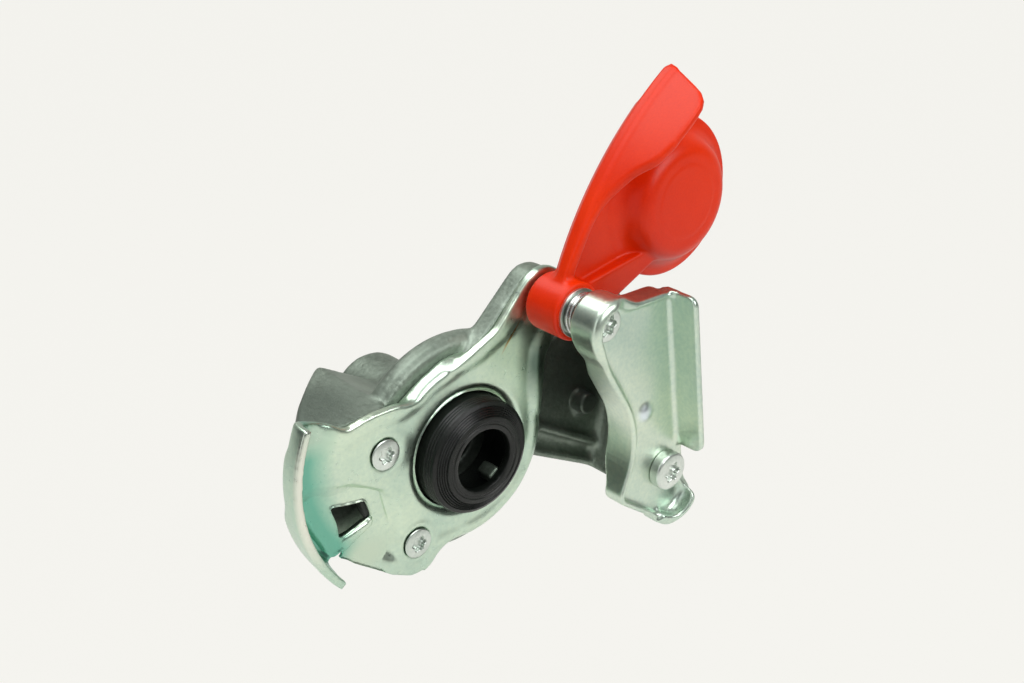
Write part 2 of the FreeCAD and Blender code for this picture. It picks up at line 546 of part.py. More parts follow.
def make_bracket():
    """The pressed guide bracket: face, turned-back flange, forward fence, lower lip and boss."""
    body = new_body("guide_bracket", HINGE_X, HINGE_Z)
    proud, depth = size("bracket_proud"), size("flange_depth")
    rear = "%s + sizes.bracket_proud - sizes.flange_depth" % FACE
    front = level(proud)
    inner, top = size("flange_radius"), size("bracket_top")
    lean = (72.3 - 60.2) / (58 + 31)

    def right_edge(y):
        return 60.2 + (58 - y) * lean

    def from_hinge(corners):
        return [(x - hinge_x, y - hinge_y, r) for x, y, r in corners]

    def face_corners(inset, right):
        """The face's outline; inset moves the left and top edges in, right moves the right one."""
        hollow = inner + inset
        swing, middle = 28.5, 5.5
        x, y = polar(hollow / cos(radians(swing)), middle)
        lower = along(middle - swing, hollow, -4)
        upper = along(middle + swing, hollow, 15)
        return [(lower[0], lower[1] + (1 if inset else 0), 3.5), (67.5 + right, -39.5 - right / 3, 4),
                (72.3 + right, -31, 4), (right_edge(top) + right, top - inset, 3 if not right else 0),
                (33 + inset, top - inset, 7 - inset), (31 + inset, upper[1] + 1, 4), (x, y, hollow)]

    face_pad = pad(body, "face", rounded(from_hinge(face_corners(0, 0))), rear, "sizes.flange_depth")

    def left_or_top(edge):
        if not lies_at(edge, front) or edge.Length < 1:
            return False
        middle = edge.BoundBox.Center
        return middle.x < 24 - lean * middle.y and middle.y > -68

    rounding = smooth(body, "bend", face_pad, left_or_top, "sizes.bracket_round")
    boss, boss_rear = size("boss_radius"), level(proud - size("boss_depth"))
    dome = [(0, boss_rear, 0), (boss, boss_rear, 0), (boss, front, 4), (0, front, 0)]
    turned(body, "boss", rounded(dome))
    pocket(body, "hollow", rounded(from_hinge(face_corners(sheet_thick, 20))),
           "%s + sizes.bracket_proud - sizes.sheet_thick" % FACE, "sizes.flange_depth")
    # The flange is cut away round the cap's hub, up to the boss
    drilled(body, "hub_room", "sizes.hub_radius + sizes.lift_gap",
            "%s + sizes.bracket_proud - sizes.boss_depth" % FACE)
    cup_radius = boss - size("boss_wall")
    cup = [(0, boss_rear - 5, 0), (cup_radius, boss_rear - 5, 0),
           (cup_radius, level(proud - sheet_thick), 0), (0, level(proud - sheet_thick), 0)]
    turned(body, "spring_cup", rounded(cup), kind="Groove")

    # Fence along the right edge, and the lip round the lower corner
    low, high = size("fence_from"), top
    fence = [(right_edge(low), low, 0), (right_edge(high), high, 0),
             (right_edge(high) - sheet_thick, high, 0), (right_edge(low) - sheet_thick, low, 0)]
    pad(body, "fence", rounded(from_hinge(fence)),
        "%s + sizes.bracket_proud - sizes.sheet_thick" % FACE, "sizes.fence_height + sizes.sheet_thick")
    lip = [(right_edge(-24), -24, 0), (72.3, -31, 4), (67.5, -39.5, 4), (60, -34.4, 0),
           (61.6, -31.9, 0), (66.6, -35.3, 2), (69.1, -30.6, 2), (right_edge(-24) - sheet_thick, -24, 0)]
    pad(body, "lower_lip", rounded(from_hinge(lip)),
        "%s + sizes.bracket_proud - sizes.sheet_thick" % FACE, "sizes.lip_height + sizes.sheet_thick")

    # Holes for the hinge screw and the stop screw
    drilled(body, "hinge_hole", "sizes.pin_radius + sizes.seat_gap", "%s + 60" % FACE)
    countersunk(body, "hinge_countersink", "sizes.pin_radius + sizes.seat_gap",
                "sizes.hinge_head_radius + sizes.seat_gap", "0", "0",
                "%s + sizes.bracket_proud" % FACE)
    drilled(body, "stop_hole", "sizes.stop_screw_radius + sizes.seat_gap", "%s + 60" % FACE,
            "sizes.stop_screw_x - sizes.hinge_x", "sizes.stop_screw_z - sizes.hinge_z")
    return body


def make_cap():
    """The swinging dust cap, drawn about its hub with its arm along X, turned open."""
    body = new_body("cap", HINGE_X, HINGE_Z, turn=size("open_angle"))
    plate_low = size("ring_lip_proud") + size("cap_gap")
    LOW = "%s + sizes.ring_lip_proud + sizes.cap_gap" % FACE

    # Grip: a curved wall whose height follows a side profile
    start, middle, end = (3.4, 10.7), (42.6, 34.6), (75, 43.2)
    outer = Part.Arc(*[Vector(*p, 0) for p in (start, middle, end)])
    centre = outer.toShape().Curve.Center

    def moved_in(point):
        out = Vector(*point, 0) - centre
        return centre + out * ((out.Length - size("grip_wall")) / out.Length)

    inner = Part.Arc(moved_in(end), moved_in(middle), moved_in(start))
    wall = [outer, Part.LineSegment(Vector(*end, 0), moved_in(end)), inner,
            Part.LineSegment(moved_in(start), Vector(*start, 0))]
    pad(body, "grip", wall, LOW, "sizes.grip_high + 2 - sizes.ring_lip_proud")
    low, high = level(size("grip_low")), level(size("grip_high"))
    profile = [(-30, low - 1, 0), (22, low, 14), (41, high - 2.5, 6), (64, high + 1, 4),
               (75.2, level(plate_low), 0), (100, level(plate_low), 0), (100, level(60), 0),
               (-30, level(60), 0)]
    trim = body.newObject("PartDesign::Pocket", "grip_trim")
    trim.Profile = profile_sketch(body, "grip_trim_sketch", rounded(profile))
    trim.Type = 1
    trim.Midplane = True

    # Arm plate, rim and dome
    plate = [outer, line(end, (77, 20)), line((77, 20), (reach, 0)), line((reach, 0), (reach, -13)),
             line((reach, -13), (14, -13)), line((14, -13), (0, -9)), line((0, -9), start)]
    pad(body, "arm", plate, LOW, "sizes.cap_web")
    pad(body, "rim", circle(size("cap_rim_radius"), reach), LOW, "sizes.cap_web + 0.3")
    dome = pad(body, "dome", circle(size("dome_radius"), reach), LOW,
               "sizes.dome_top - sizes.ring_lip_proud - sizes.cap_gap")
    top = level(size("dome_top"))
    smooth(body, "dome_edge", dome, lambda e: lies_at(e, top), "sizes.dome_round")
    pad(body, "hub", circle(size("hub_radius")), "%s + sizes.hub_gap" % FACE,
        "sizes.hub_top - sizes.hub_gap")
    pocket(body, "dome_hollow", circle(size("dome_radius") - size("cap_web"), reach),
           "%s + sizes.dome_top - sizes.cap_web" % FACE,
           "sizes.dome_top - sizes.cap_web - sizes.ring_lip_proud - sizes.cap_gap")
    drilled(body, "hub_bore", "sizes.pin_radius + sizes.pin_gap", "%s + 60" % FACE)
    return body


def make_washer():
    """The washer between the cap's hub and the spring."""
    body = new_body("thrust_washer", HINGE_X, HINGE_Z)
    pad(body, "disc", circle(size("washer_radius")), "%s + sizes.hub_top" % FACE, "sizes.washer_thick")
    drilled(body, "bore", "sizes.pin_radius + sizes.pin_gap", "%s + 60" % FACE)
    return body


def make_spring():
    """The coil that presses the cap onto the plate: an eight-sided wire swept along a helix."""
    low = level(size("hub_top") + size("washer_thick")) + size("wire_radius") + size("spring_gap")
    high = level(size("bracket_proud") - sheet_thick) - size("wire_radius") - size("spring_gap")
    turns = size("spring_turns")
    helix = Part.makeHelix((high - low) / turns, high - low, size("spring_radius"))
    corners = [polar(size("wire_radius"), 45 * i) for i in range(8)]
    wire = Part.makePolygon([Vector(size("spring_radius") + x, 0, y) for x, y in corners + corners[:1]])
    coil = Part.Wire(helix.Edges).makePipeShell([wire], True, True)
    spring = doc.addObject("Part::Feature", "cap_spring")
    spring.Label = "cap_spring"
    spring.Shape = coil
    spring.Placement = Placement(Vector(hinge_x, -low, hinge_y), TIP_UP)
    bodies.append(spring)
    return spring


make_casting()
make_seal_ring()
make_claw_plate()
for place in ("upper", "lower"):
    screw(place + "_plate_screw", size("plate_screw_radius"), size("plate_head_radius"),
          size("plate_screw_length"), "sizes.%s_screw_x" % place, "sizes.%s_screw_z" % place, FACE, 3)
make_bracket()
screw("hinge_screw", size("pin_radius"), size("hinge_head_radius"), size("bracket_proud") + 10,
      HINGE_X, HINGE_Z, "%s + sizes.bracket_proud" % FACE, 3.4)
screw("stop_screw", size("stop_screw_radius"), size("stop_head_radius"), 12, "sizes.stop_screw_x",
      "sizes.stop_screw_z", "%s + sizes.bracket_proud" % FACE, 3.6, size("stop_head_height"))
make_cap()
make_washer()
make_spring()

# The two alike plate screws are one group of separate solids
pair = [body for body in bodies if body.Label.endswith("_plate_screw")]
group = doc.addObject("Part::Compound", "plate_screws")
group.Label = "plate_screws"
group.Links = pair
bodies = [body for body in bodies if body not in pair] + [group]

# Check everything before anything is written
doc.recompute()
for item in doc.Objects:
    if "Invalid" in item.State or "Error" in item.State:
        raise RuntimeError("%s failed: %s" % (item.Name, item.State))
for body in bodies:
    if body.Shape.isNull() or not body.Shape.isValid():
        raise RuntimeError("%s has no valid shape" % body.Label)

os.makedirs("parts", exist_ok=True)
for body in bodies:
    body.Shape.exportStep("parts/%s.step" % body.Label)
    box = body.Shape.BoundBox
    print("%-18s %9.0f mm3  x %6.1f %6.1f  y %6.1f %6.1f  z %6.1f %6.1f  solids %d" % (
        body.Label, body.Shape.Volume, box.XMin, box.XMax, box.YMin, box.YMax, box.ZMin, box.ZMax,
        len(body.Shape.Solids)))
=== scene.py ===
"""Looks of the air brake coupling head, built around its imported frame.

X right, Z up, the coupling face looks along -Y. Pieces are worked out in millimetres as (right,
up, in front of the plate's face), written x, z and w, and to_frame brings them to metres.
"""
import json

import bmesh
import bpy
import numpy as np
from mathutils import Matrix, Vector


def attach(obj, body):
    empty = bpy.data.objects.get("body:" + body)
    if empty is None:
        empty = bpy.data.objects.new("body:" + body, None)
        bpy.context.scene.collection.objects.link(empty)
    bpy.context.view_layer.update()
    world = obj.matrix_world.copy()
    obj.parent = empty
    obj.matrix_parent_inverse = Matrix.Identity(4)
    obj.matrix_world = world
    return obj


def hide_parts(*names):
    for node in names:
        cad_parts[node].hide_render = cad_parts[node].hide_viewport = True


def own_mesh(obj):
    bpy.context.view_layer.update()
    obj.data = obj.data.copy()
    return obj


MM = 0.001
FACE_Y = -60.0                                  # front of the claw plate
HINGE = (34.0, 47.0)                            # hinge of the cap, from the ring's axis
STOP = (64.7, -17.4)                            # stop screw
PLATE_SCREWS = ((-34.2, 11.2), (-22.6, -27.1))  # upper and lower screw of the plate
CLAW_AXIS = (-18.0, 12.0)                       # middle of the arc that the claw's wall follows
PHOTO_WIDTH = 1024                              # pixels
FOCAL_LENGTH = 1300                             # pixels
SENSOR = 36                                     # millimetres

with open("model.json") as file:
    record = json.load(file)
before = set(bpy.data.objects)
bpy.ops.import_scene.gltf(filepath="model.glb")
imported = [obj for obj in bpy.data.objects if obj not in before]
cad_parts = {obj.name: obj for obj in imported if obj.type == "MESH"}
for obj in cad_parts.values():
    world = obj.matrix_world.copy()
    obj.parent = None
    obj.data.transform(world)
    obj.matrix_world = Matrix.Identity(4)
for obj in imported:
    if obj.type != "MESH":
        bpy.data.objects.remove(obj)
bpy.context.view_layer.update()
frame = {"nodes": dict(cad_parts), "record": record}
nodes = frame["nodes"]


# Camera and light

def make_camera():
    """The photograph's viewpoint: its right and up directions, its place and its focal length."""
    right = Vector((0.756, -0.654, 0.001)).normalized()
    up = Vector((0.270, 0.313, 0.910)).normalized()
    back = right.cross(up)
    camera = bpy.data.objects.new("camera", bpy.data.cameras.new("camera"))
    camera.data.sensor_width = SENSOR
    camera.data.lens = SENSOR * FOCAL_LENGTH / PHOTO_WIDTH
    camera.data.clip_start = 0.01
    turned = Matrix((right, up, back)).transposed().to_4x4()
    camera.matrix_world = Matrix.Translation((-0.2418, -0.3612, 0.2163)) @ turned
    bpy.context.scene.collection.objects.link(camera)
    bpy.context.scene.camera = camera


def area_light(name, place, aim, size, power):
    """A soft rectangular lamp at a place, looking at a point."""
    light = bpy.data.lights.new(name, "AREA")
    light.shape = "RECTANGLE"
    light.size, light.size_y = size
    light.energy = power
    lamp = bpy.data.objects.new(name, light)
    lamp.location = place
    lamp.visible_camera = False
    lamp.rotation_euler = (Vector(aim) - Vector(place)).to_track_quat("-Z", "Y").to_euler()
    bpy.context.scene.collection.objects.link(lamp)


# Shader building

class Shader:
    """A small helper that adds nodes to one node tree and links them."""

    def __init__(self, tree):
        self.tree = tree

    def add(self, kind, **settings):
        node = self.tree.nodes.new(kind)
        for key, value in settings.items():
            setattr(node, key, value)
        return node

    def link(self, source, target):
        self.tree.links.new(source, target)

    def put(self, target, value):
        """Set a socket to a plain value, or link an output to it."""
        if isinstance(value, bpy.types.NodeSocket):
            self.link(value, target)
        else:
            target.default_value = value

    def math(self, operation, *values, clamp=False):
        node = self.add("ShaderNodeMath", operation=operation, use_clamp=clamp)
        for socket, value in zip(node.inputs, values):
            self.put(socket, value)
        return node.outputs[0]

    def mix(self, share, a, b):
        node = self.add("ShaderNodeMix", data_type="RGBA")
        self.put(node.inputs[0], share)
        self.put(node.inputs[6], a)
        self.put(node.inputs[7], b)
        return node.outputs[2]

    def ramp(self, value, stops):
        """A grey that runs through (place, grey) stops as the value rises."""
        node = self.add("ShaderNodeValToRGB")
        self.put(node.inputs[0], value)
        elements = node.color_ramp.elements
        while len(elements) < len(stops):
            elements.new(0.5)
        for element, (place, grey) in zip(elements, stops):
            element.position = place
            element.color = (grey, grey, grey, 1)
        return node.outputs[0]

    def axes(self, coordinates):
        """The X, Y and Z parts of coordinates."""
        parts = self.add("ShaderNodeSeparateXYZ")
        self.link(coordinates, parts.inputs[0])
        return parts.outputs


def new_group(name, inputs, outputs):
    """A shader node group; inputs are (name, kind, value), outputs are (name, kind)."""
    tree = bpy.data.node_groups.new(name, "ShaderNodeTree")
    for label, kind, value in inputs:
        socket = tree.interface.new_socket(label, in_out="INPUT", socket_type=kind)
        if value is not None:
            socket.default_value = value
    for label, kind in outputs:
        tree.interface.new_socket(label, in_out="OUTPUT", socket_type=kind)
    shader = Shader(tree)
    return shader, shader.add("NodeGroupInput"), shader.add("NodeGroupOutput")


def make_weathering():
    """Cloudy colour and roughness over a piece, with fine specks: colour, rough and height."""
    s, given, out = new_group(
        "weathering",
        [("Vector", "NodeSocketVector", None), ("Cloud Scale", "NodeSocketFloat", 60.0),
         ("Speck Scale", "NodeSocketFloat", 900.0), ("Light", "NodeSocketColor", (1, 1, 1, 1)),
         ("Dark", "NodeSocketColor", (0, 0, 0, 1)), ("Base Rough", "NodeSocketFloat", 0.4),
         ("Rough Spread", "NodeSocketFloat", 0.15)],
        [("Color", "NodeSocketColor"), ("Rough", "NodeSocketFloat"), ("Height", "NodeSocketFloat")])

    def noise(scale, detail):
        texture = s.add("ShaderNodeTexNoise")
        s.link(given.outputs["Vector"], texture.inputs["Vector"])
        s.link(given.outputs[scale], texture.inputs["Scale"])
        texture.inputs["Detail"].default_value = detail
        return texture.outputs["Fac"]

    cloud, speck = noise("Cloud Scale", 4), noise("Speck Scale", 2)
    both = s.math("ADD", s.math("MULTIPLY", cloud, 0.7), s.math("MULTIPLY", speck, 0.3))
    share = s.ramp(both, [(0.36, 0.0), (0.64, 1.0)])
    s.link(s.mix(share, given.outputs["Dark"], given.outputs["Light"]), out.inputs["Color"])
    spread = s.math("MULTIPLY", s.math("SUBTRACT", speck, 0.5), given.outputs["Rough Spread"])
    s.link(s.math("ADD", given.outputs["Base Rough"], spread, clamp=True), out.inputs["Rough"])
    s.link(speck, out.inputs["Height"])
    return s.tree


WEATHERING = make_weathering()


def surface(name, light, dark, rough, spread, metal=0.0, cloud=60.0, speck=900.0, bump=0.05,
            edge=0.0, specular=0.5):
    """A material from the weathering group; edge is the rounding (mm) given to sharp edges."""
    material = bpy.data.materials.new(name)
    material.use_nodes = True
    s = Shader(material.node_tree)
    principled = material.node_tree.nodes["Principled BSDF"]
    group = s.add("ShaderNodeGroup", node_tree=WEATHERING)
    s.link(s.add("ShaderNodeTexCoord").outputs["Object"], group.inputs["Vector"])
    for label, value in (("Cloud Scale", cloud), ("Speck Scale", speck), ("Light", (*light, 1)),
                         ("Dark", (*dark, 1)), ("Base Rough", rough), ("Rough Spread", spread)):
        group.inputs[label].default_value = value
    s.link(group.outputs["Color"], principled.inputs["Base Color"])
    s.link(group.outputs["Rough"], principled.inputs["Roughness"])
    principled.inputs["Metallic"].default_value = metal
    principled.inputs["Specular IOR Level"].default_value = specular
    relief = s.add("ShaderNodeBump")
    relief.inputs["Distance"].default_value = 1 * MM
    relief.inputs["Strength"].default_value = bump
    s.link(group.outputs["Height"], relief.inputs["Height"])
    if edge:
        soft = s.add("ShaderNodeBevel", samples=6)
        soft.inputs["Radius"].default_value = edge * MM
        s.link(soft.outputs["Normal"], relief.inputs["Normal"])
    s.link(relief.outputs["Normal"], principled.inputs["Normal"])
    return material


def srgb(r, g, b):
    """A colour as the eye reads it, 0 to 255, in the renderer's linear values."""
    parts = np.array((r, g, b)) / 255
    linear = np.where(parts <= 0.04045, parts / 12.92, ((parts + 0.055) / 1.055) ** 2.4)
    return tuple(float(v) for v in linear)


ROOM = (*srgb(245, 244, 239), 1)                # the pale room as the camera sees it
ROOM_LEVEL = 0.97                               # its brightness to the camera
ROOM_LIGHT = 0.42                               # its brightness on the object
SWEEP_MIRRORED = 0.22                           # share of the sweep's glow in mirrored light

MATERIALS = {
    "casting": surface("casting", srgb(150, 163, 150), srgb(106, 118, 106), 0.46, 0.25, metal=0.72,
                       cloud=45, speck=600, bump=0.2),
    "zinc": surface("zinc", srgb(218, 230, 212), srgb(184, 206, 194), 0.33, 0.08, metal=1.0,
                    cloud=28, speck=700, bump=0.02),
    "plate_zinc": surface("plate_zinc", srgb(214, 230, 208), srgb(186, 208, 192), 0.29, 0.08,
                          metal=1.0, cloud=28, speck=700, bump=0.02),
    "screw_steel": surface("screw_steel", srgb(226, 232, 226), srgb(200, 210, 202), 0.3, 0.08,
                           metal=1.0, cloud=90, bump=0.03, edge=0.25),
    "spring_steel": surface("spring_steel", srgb(216, 218, 214), srgb(180, 182, 180), 0.2, 0.1,
                            metal=1.0, cloud=120, bump=0.03),
    "rubber": surface("rubber", srgb(17, 21, 18), srgb(10, 13, 11), 0.34, 0.25, cloud=80,
                      speck=1200, bump=0.12, specular=0.35),
    "red_plastic": surface("red_plastic", srgb(228, 50, 0), srgb(214, 38, 0), 0.34, 0.1, cloud=30,
                           speck=1400, bump=0.04, specular=0.27),
}
SLOTS = {row["node"]: row["material_slot"] for row in frame["record"]["subparts"]}


def open_base(material):
    """The material's node helper, its base colour socket, and what feeds that socket now."""
    base = material.node_tree.nodes["Principled BSDF"].inputs["Base Color"]
    return Shader(material.node_tree), base, base.links[0].from_socket


def paint_trough_reflection(material, teal):
    """A painted reflection in the claw's trough: a ring of teal about the claw's axis, left of the plate's
    field. The ramps take decimetres, so 0.44 is a radius of 44 mm."""
    s, base, before = open_base(material)
    place = s.axes(s.add("ShaderNodeTexCoord").outputs["Object"])
    across = s.math("SUBTRACT", place["X"], CLAW_AXIS[0] * MM)
    up = s.math("SUBTRACT", place["Z"], CLAW_AXIS[1] * MM)
    squares = s.math("ADD", s.math("MULTIPLY", across, across), s.math("MULTIPLY", up, up))
    radius = s.math("MULTIPLY", s.math("SQRT", squares), 10)
    ring = s.ramp(radius, [(0.35, 0), (0.44, 1), (0.505, 1), (0.53, 0.15)])
    west = s.ramp(s.math("MULTIPLY", place["X"], -10), [(0.4, 0), (0.52, 1)])
    share = s.math("MULTIPLY", s.math("MULTIPLY", ring, west), 0.85)
    s.link(s.mix(share, before, (*teal, 1)), base)


def add_patch(material, centre, reach, colour, soft=0.5, share=0.92, turn=0.0):
    """A patch of another colour round a point of the frame: an ellipsoid of half sizes reach (mm),
    turned about the coupling's axis, that fades over its outer part soft."""
    s, base, before = open_base(material)
    placed = s.add("ShaderNodeMapping", vector_type="TEXTURE")
    s.link(s.add("ShaderNodeTexCoord").outputs["Object"], placed.inputs["Vector"])
    placed.inputs["Location"].default_value = [v * MM for v in centre]
    placed.inputs["Rotation"].default_value = (0, turn, 0)
    placed.inputs["Scale"].default_value = [v * MM for v in reach]
    apart = s.add("ShaderNodeVectorMath", operation="LENGTH")
    s.link(placed.outputs["Vector"], apart.inputs[0])
    amount = s.ramp(apart.outputs["Value"], [(1 - soft, share), (1, 0)])
    s.link(s.mix(amount, before, (*colour, 1)), base)


def mark_metals():
    """Painted shade, painted highlights and reflections, and an ochre scratch, each laid over the ones
    before it.
    """
    casting, plate, painted_shade_colour = MATERIALS["casting"], MATERIALS["plate_zinc"], srgb(30, 34, 31)
    # Painted shade: the jaw, the skirt's left side, the bore, and the room behind the plate's slot are
    # darkened
    add_patch(casting, (58, -70, 11), (40, 40, 37), srgb(46, 52, 48), soft=0.6)
    add_patch(casting, (-50, -40, 26), (27, 26, 24), srgb(92, 104, 94), soft=0.7, share=0.85)
    add_patch(casting, (0, -40, 0), (24, 24, 24), painted_shade_colour, soft=0.4)
    add_patch(casting, (-41, -48, -11), (16, 12, 14), painted_shade_colour, soft=0.35)
    # A painted highlight: the bracket's dimple is made paler and bluish white
    add_patch(MATERIALS["zinc"], (DIMPLE[0], -91, DIMPLE[1]), (4.2, 3, 4.2), srgb(222, 232, 238), share=0.9)
    # The plate: an ochre scratch below the hinge, a painted shade that dims the bright field above the
    # ring, and a painted shade beside the jaw
    add_patch(plate, (19.5, -60, 36.7), (0.7, 6, 7.5), srgb(186, 140, 52), soft=0.6, share=0.85,
              turn=0.62)
    add_patch(plate, (-11, -60, 35), (11, 8, 9), srgb(192, 206, 194), soft=0.8, share=0.6)
    add_patch(plate, (30, -61, 24), (9, 9, 17), srgb(74, 94, 84), soft=0.8, share=0.9)
    # A painted reflection in the trough, which is pale again at its two ends, and a painted highlight along
    # the edge of the claw's lip
    paint_trough_reflection(plate, srgb(92, 172, 150))
    add_patch(plate, (-42, -61, -24.5), (11.5, 12, 8), srgb(200, 216, 196), soft=0.5)
    add_patch(plate, (-60, -60, 27), (10, 12, 9), srgb(200, 216, 198), soft=0.7, share=0.75)
    # Painted highlight along the front edge of the claw's lip
    add_patch(plate, (-68, -69.2, 12), (9, 3.2, 32), srgb(230, 230, 218), soft=0.5)


# Fields: distances from a surface, negative inside

def wave(low, high, t):
    """A smooth step from 0 at low to 1 at high."""
    s = np.clip((t - low) / (high - low), 0, 1)
    return s * s * (3 - 2 * s)


def bell(x, z, middle, spread):
    """1 at a place, falling off round it: the exponential of minus the squared distance over
    spread (square millimetres)."""
    return np.exp(-((x - middle[0]) ** 2 + (z - middle[1]) ** 2) / spread)


def layer(t, low, high):
    """The field of what lies between two values of t."""
    return np.maximum(low - t, t - high)


def melt(a, b, soft):
    """The union of two fields with a fillet about soft wide: the lower of the two, less a bump
    where they are nearly equal."""
    h = np.clip(0.5 + 0.5 * (b - a) / soft, 0, 1)
    return b + (a - b) * h - soft * h * (1 - h)


def carve(a, b, soft):
    """What is inside both fields, with its edge rounded about soft wide."""
    return -melt(-a, -b, soft)


# Meshes

def to_frame(points):
    """Points (x, z, w) in mm as places in the frame, in metres."""
    x, z, w = np.asarray(points, float).T
    return np.stack([x, FACE_Y - w, z], -1) * MM


def to_object(name, points, faces, material):
    """A mesh piece at the origin, from points (x, z, w) in mm."""
    mesh = bpy.data.meshes.new(name)
    mesh.from_pydata(to_frame(points).tolist(), [], faces if isinstance(faces, list) else faces.tolist())
    mesh.validate()
    mesh.shade_smooth()
    mesh.materials.append(material)
    piece = bpy.data.objects.new(name, mesh)
    bpy.context.scene.collection.objects.link(piece)
    return piece


def stand_in(piece, node, body):
    """The piece takes the node's place, moves with its body and keeps its finish."""
    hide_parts(node)
    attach(piece, body)


def join_head(piece):
    """A piece with no node of its own moves with the head; its callers give it the casting's material."""
    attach(piece, "head")


def grid_faces(rows, columns, around=False, closed=False):
    """Squares of a grid of rows by columns; around joins its last row to the first, closed its
    last column."""
    index = np.arange(rows * columns).reshape(rows, columns)
    if around:
        index = np.concatenate([index, index[:1]])
    if closed:
        index = np.concatenate([index, index[:, :1]], 1)
    square = np.stack([index[:-1, :-1], index[1:, :-1], index[1:, 1:], index[:-1, 1:]], -1)
    return square.reshape(-1, 4)


def turned_ring(profile, spin):
    """A closed profile of (radius, height) carried round the axis: radius times cosine and sine."""
    radius, height = np.array(profile, float).T
    angle = np.linspace(0, 2 * np.pi, spin, endpoint=False)[:, None]
    x, z = radius * np.cos(angle), radius * np.sin(angle)
    points = np.stack([x, z, np.broadcast_to(height, x.shape)], -1).reshape(-1, 3)
    return points, grid_faces(spin, len(profile), around=True, closed=True)


def net(field, low, high, step):
    """The surface where a field is zero. Each cell of a grid that the surface crosses gets the
    mean of the crossings on its twelve edges, each grid edge that changes sign gets a square
    between its four cells, and two Newton steps bring the points onto the surface."""
    axes = [np.arange(a, b + step, step) for a, b in zip(low, high)]
    value = field(*np.meshgrid(*axes, indexing="ij"))
    cells = tuple(n - 1 for n in value.shape)
    total, count = np.zeros(cells + (3,)), np.zeros(cells)
    for axis in range(3):
        here = np.moveaxis(value, axis, 0)
        sums = np.moveaxis(total, axis, 0)
        counts = np.moveaxis(count, axis, 0)
        crossed = (here[:-1] < 0) != (here[1:] < 0)
        share = np.where(crossed, here[:-1] / np.where(crossed, here[:-1] - here[1:], 1), 0)
        others = [i for i in range(3) if i != axis]
        for i in (0, 1):
            for j in (0, 1):
                part = (slice(None), slice(i, here.shape[1] - 1 + i), slice(j, here.shape[2] - 1 + j))
                counts += crossed[part]
                sums[..., axis] += share[part]
                sums[..., others[0]] += i * crossed[part]
                sums[..., others[1]] += j * crossed[part]
    used = count > 0
    number = np.full(cells, -1)
    number[used] = np.arange(used.sum())
    points = (np.argwhere(used) + total[used] / count[used][:, None]) * step + np.array(low)
    faces = []
    for axis in range(3):
        here, cell = np.moveaxis(value, axis, 0), np.moveaxis(number, axis, 0)
        crossed = ((here[:-1] < 0) != (here[1:] < 0))[:, 1:-1, 1:-1]
        ring = np.stack([cell[:, :-1, :-1], cell[:, 1:, :-1], cell[:, 1:, 1:], cell[:, :-1, 1:]], -1)
        ring = ring[crossed]
        turned = (here[:-1][:, 1:-1, 1:-1][crossed] < 0) == (axis == 1)
        ring[turned] = ring[turned][:, ::-1]
        faces.append(ring)
    probe, flattest, longest = 0.05, 0.2, 0.6 * step
    for _ in range(2):
        distance = field(*points.T)
        rise = [field(*(points + shift).T) - distance for shift in np.eye(3) * probe]
        slope = np.stack(rise, -1) / probe
        steep = np.maximum((slope ** 2).sum(1), flattest)
        move = -(distance / steep)[:, None] * slope
        reach = np.linalg.norm(move, axis=1)[:, None]
        points = points + move * np.minimum(1, longest / np.maximum(reach, 1e-9))
    return points, np.concatenate(faces)


def relax(points, edges, rounds, share=0.5):
    """Each round brings every point part of the way to the mean of its neighbours; share is a
    number or one value for each point."""
    start, end = edges.T
    size = len(points)
    degree = np.maximum(np.bincount(edges.ravel(), minlength=size), 1)[:, None]
    for _ in range(rounds):
        sums = [np.bincount(start, points[end, i], size) + np.bincount(end, points[start, i], size)
                for i in range(3)]
        points = points + share * (np.stack(sums, -1) / degree - points)
    return points


def softened(name, node, voxel, rounds, material, extra=None, shape=None):
    """A CAD node's copy with the soft edges of casting or drawing: its surface on a grid of
    voxels, relaxed, with extra rounds where extra's weight is near 1, then moved by shape."""
    work = bmesh.new()
    work.from_mesh(nodes[node].data)
    bmesh.ops.remove_doubles(work, verts=work.verts, dist=1e-6)
    mesh = bpy.data.meshes.new(name)
    work.to_mesh(mesh)
    work.free()
    piece = bpy.data.objects.new(name, mesh)
    bpy.context.scene.collection.objects.link(piece)
    remesh = piece.modifiers.new("voxels", "REMESH")
    remesh.mode = "VOXEL"
    remesh.voxel_size = voxel * MM
    depsgraph = bpy.context.evaluated_depsgraph_get()
    made = bpy.data.meshes.new_from_object(piece.evaluated_get(depsgraph))
    piece.modifiers.clear()
    piece.data = made
    bpy.data.meshes.remove(mesh)
    made.name = name
    flat = np.empty(len(made.vertices) * 3)
    made.vertices.foreach_get("co", flat)
    pairs = np.empty(len(made.edges) * 2, int)
    made.edges.foreach_get("vertices", pairs)
    x, y, z = flat.reshape(-1, 3).T / MM
    points, pairs = np.stack([x, z, FACE_Y - y], -1), pairs.reshape(-1, 2)
    points = relax(points, pairs, rounds)
    if extra is not None:
        more_rounds, weight = extra
        points = relax(points, pairs, more_rounds, 0.5 * weight(*points.T)[:, None])
    if shape is not None:
        points = relax(shape(points), pairs, 1)
    made.vertices.foreach_set("co", to_frame(points).ravel())
    made.update()
    made.shade_smooth()
    made.materials.clear()
    made.materials.append(material)
    stand_in(piece, node, "head")


# Cap: u runs along its arm from the hinge, v across the arm

ARM = np.radians(28.1)      # the open cap's arm above level
CAP_LOW = 5.4               # the rear of the cap's rim in front of the plate's face
DISC_AT = 58                # the disc's middle along the arm
RIM = 29.2                  # radius of the thin rim
FLANK_FOOT = 25.6           # radius at which the dome's flank leaves the rim
FLANK_LEAN = 0.56           # lean of the flank, in radians
DOME_TOP = 16.5             # the disc's face in front of the plate's face
GRIP_WALL = 2.9             # thickness of the grip
HUB = 10.2                  # radius of the hub
